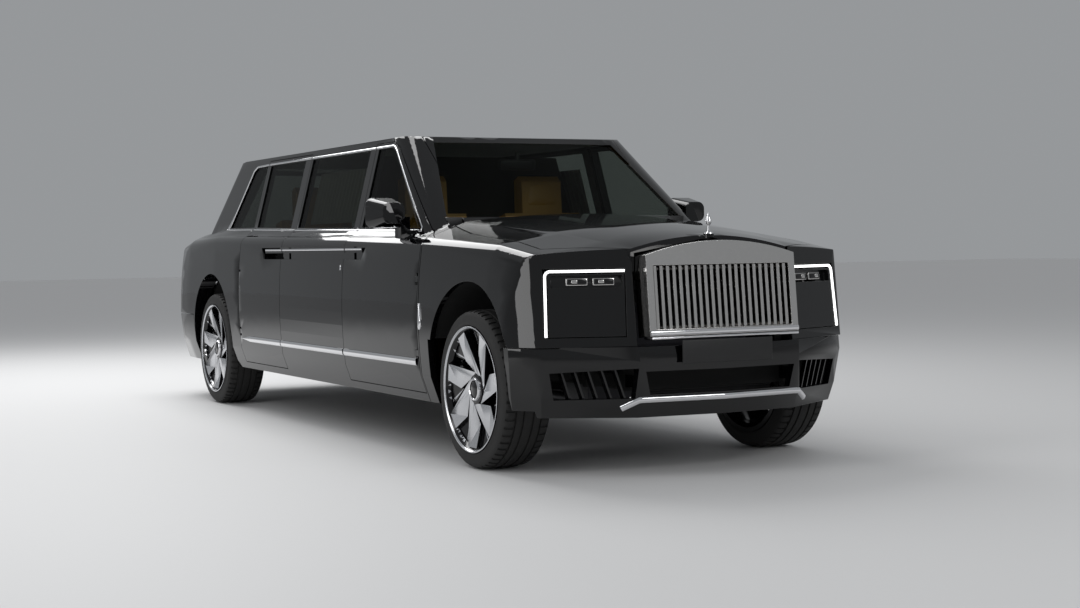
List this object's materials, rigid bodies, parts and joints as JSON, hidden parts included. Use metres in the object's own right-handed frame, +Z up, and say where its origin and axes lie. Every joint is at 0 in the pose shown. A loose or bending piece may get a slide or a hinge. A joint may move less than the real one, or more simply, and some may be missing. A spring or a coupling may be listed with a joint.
{
  "type": "stretch limousine",
  "caption": "Long black luxury limousine with an upright vertical-vane grille, coach doors, glazed lounge, split tailgate, steered front wheels and free-turning wheels.",
  "frame": {"origin": "on the ground, under the middle of the car's length and width", "axes": "+Z up, the car faces -Y, its right side is -X"},
  "size_m": [2.174, 6.555, 1.835],
  "materials": {
    "gloss_black_paint": "deep gloss black paint",
    "chrome_trim": "bright chrome",
    "polished_steel": "polished stainless steel",
    "machined_rim": "machined faces with gloss black pockets",
    "tyre_rubber": "matt",
    "tinted_glass": "smoked glass",
    "lamp_black": "gloss black",
    "lamp_white": "lit white strip",
    "lamp_red": "clear red",
    "tan_leather": "satin hide",
    "dark_leather": "satin hide",
    "dark_trim": "matt trim",
    "underbody_black": "matt protective coating",
    "running_gear_steel": "cast and coated",
    "cast_metal": "cast"
  },
  "bodies": {
    "body": {"underbody": "underbody_black", "floor_pan": "underbody_black", "cowl": "gloss_black_paint", "body_side_left": "gloss_black_paint", "body_side_right": "gloss_black_paint", "roof": "gloss_black_paint", "front_fenders": "gloss_black_paint", "front_bumper": "gloss_black_paint", "rear_bumper": "gloss_black_paint", "grille_frame": "polished_steel", "grille_vanes": "polished_steel", "headlamps": "lamp_black", "lamp_strips": "lamp_white", "tail_lamps": "lamp_red", "windscreen": "tinted_glass", "fixed_side_glass": "tinted_glass", "dashboard": "dark_leather", "steering_wheel": "dark_leather", "front_seats": "tan_leather", "rear_seats": "tan_leather", "partition": "dark_trim", "engine_block": "cast_metal", "propshaft": "running_gear_steel", "exhaust": "running_gear_steel", "front_suspension": "running_gear_steel", "rear_axle": "running_gear_steel"},
    "bonnet": {"bonnet": "gloss_black_paint", "bonnet_finial": "chrome_trim"},
    "tailgate_upper": {"tailgate_upper": "gloss_black_paint", "tailgate_glass": "tinted_glass"},
    "tailgate_lower": {"tailgate_lower": "gloss_black_paint"},
    "door_front_left": {"door_front_left": "gloss_black_paint", "window_front_left": "tinted_glass", "mirror_left": "gloss_black_paint"},
    "wheel_front_left": {"rim_front_left": "machined_rim", "tyre_front_left": "tyre_rubber"},
    "door_rear_left": {"door_rear_left": "gloss_black_paint", "window_rear_left": "tinted_glass"},
    "wheel_rear_left": {"rim_rear_left": "machined_rim", "tyre_rear_left": "tyre_rubber"},
    "steer_left": {"front_knuckle_left": "running_gear_steel"},
    "door_front_right": {"door_front_right": "gloss_black_paint", "window_front_right": "tinted_glass", "mirror_right": "gloss_black_paint"},
    "wheel_front_right": {"rim_front_right": "machined_rim", "tyre_front_right": "tyre_rubber"},
    "door_rear_right": {"door_rear_right": "gloss_black_paint", "window_rear_right": "tinted_glass"},
    "wheel_rear_right": {"rim_rear_right": "machined_rim", "tyre_rear_right": "tyre_rubber"},
    "steer_right": {"front_knuckle_right": "running_gear_steel"}
  },
  "joints": [
    {"name": "front_door_left", "type": "hinge", "parent": "body", "child": "door_front_left", "pos_m": [0.976, -1.7435, 0.8], "axis": [0, 0, 1], "range_deg": [-65, 0]},
    {"name": "rear_door_left", "type": "hinge", "parent": "body", "child": "door_rear_left", "pos_m": [0.976, 1.3895, 0.8], "axis": [0, 0, 1], "range_deg": [0, 80]},
    {"name": "steering_left", "type": "hinge", "parent": "body", "child": "steer_left", "pos_m": [0.79, -2.3875, 0.405], "axis": [0, 0, 1], "range_deg": [-30, 30]},
    {"name": "front_wheel_left", "type": "hinge", "parent": "steer_left", "child": "wheel_front_left", "pos_m": [0.8365, -2.3875, 0.405], "axis": [1, 0, 0], "continuous": true},
    {"name": "rear_wheel_left", "type": "hinge", "parent": "body", "child": "wheel_rear_left", "pos_m": [0.8365, 2.1075, 0.405], "axis": [1, 0, 0], "continuous": true},
    {"name": "front_door_right", "type": "hinge", "parent": "body", "child": "door_front_right", "pos_m": [-0.976, -1.7435, 0.8], "axis": [0, 0, 1], "range_deg": [0, 65]},
    {"name": "rear_door_right", "type": "hinge", "parent": "body", "child": "door_rear_right", "pos_m": [-0.976, 1.3895, 0.8], "axis": [0, 0, 1], "range_deg": [-80, 0]},
    {"name": "steering_right", "type": "hinge", "parent": "body", "child": "steer_right", "pos_m": [-0.79, -2.3875, 0.405], "axis": [0, 0, 1], "range_deg": [-30, 30]},
    {"name": "front_wheel_right", "type": "hinge", "parent": "steer_right", "child": "wheel_front_right", "pos_m": [-0.8365, -2.3875, 0.405], "axis": [1, 0, 0], "continuous": true},
    {"name": "rear_wheel_right", "type": "hinge", "parent": "body", "child": "wheel_rear_right", "pos_m": [-0.8365, 2.1075, 0.405], "axis": [1, 0, 0], "continuous": true},
    {"name": "bonnet_hinge", "type": "hinge", "parent": "body", "child": "bonnet", "pos_m": [0, -1.7885, 1.309], "axis": [1, 0, 0], "range_deg": [-50, 0]},
    {"name": "tailgate_upper_hinge", "type": "hinge", "parent": "body", "child": "tailgate_upper", "pos_m": [0, 2.05, 1.8], "axis": [1, 0, 0], "range_deg": [0, 80]},
    {"name": "tailgate_lower_hinge", "type": "hinge", "parent": "body", "child": "tailgate_lower", "pos_m": [0, 3.2865, 0.6425], "axis": [1, 0, 0], "range_deg": [-90, 0]}
  ],
  "couplings": [
    {"joint": "steering_right", "follows": "steering_left", "ratio": 1}
  ]
}
